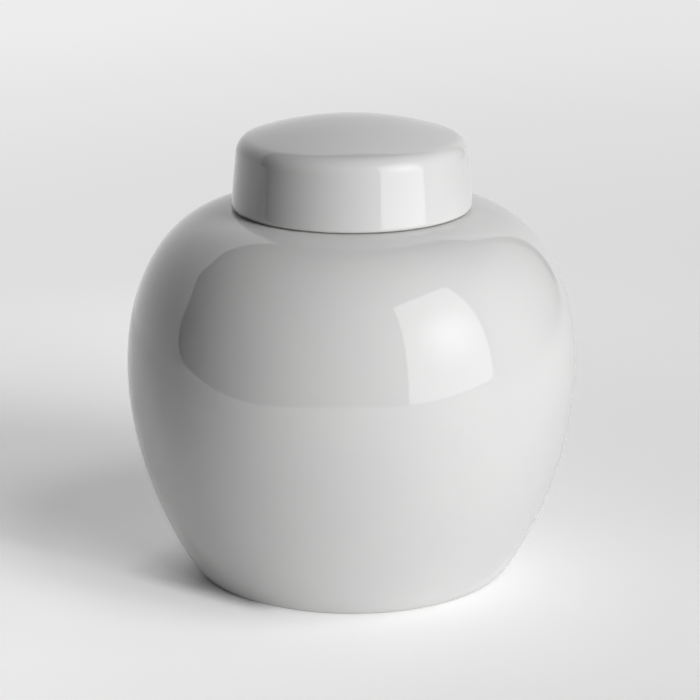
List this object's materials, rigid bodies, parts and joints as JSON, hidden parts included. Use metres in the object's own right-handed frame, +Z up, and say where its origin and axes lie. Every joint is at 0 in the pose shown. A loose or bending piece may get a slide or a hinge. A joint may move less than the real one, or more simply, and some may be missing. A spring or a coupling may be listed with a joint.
{
  "type": "lidded jar",
  "caption": "Round porcelain jar with a full shoulder, a short neck and a loose cap lid that lifts off, glazed white inside and out, for keeping dry goods or as an ornament.",
  "frame": {"origin": "centre of the foot ring, in the plane that it stands on", "axes": "+Z up along the jar's turning axis, which is also the way the lid lifts; X and Y are free, because the jar is round"},
  "size_m": [0.2, 0.2, 0.2023],
  "materials": {
    "body_glaze": "clear gloss glaze over white porcelain, bare on the foot ring, the lid seat and the lip",
    "lid_glaze": "clear gloss glaze over white porcelain, bare on the rim"
  },
  "bodies": {
    "jar": {"jar_body": "body_glaze"},
    "lid": {"lid": "lid_glaze"}
  },
  "joints": [
    {"name": "lid_lift", "type": "slide", "parent": "jar", "child": "lid", "axis": [0, 0, 1], "range_m": [0, 0.12]}
  ]
}
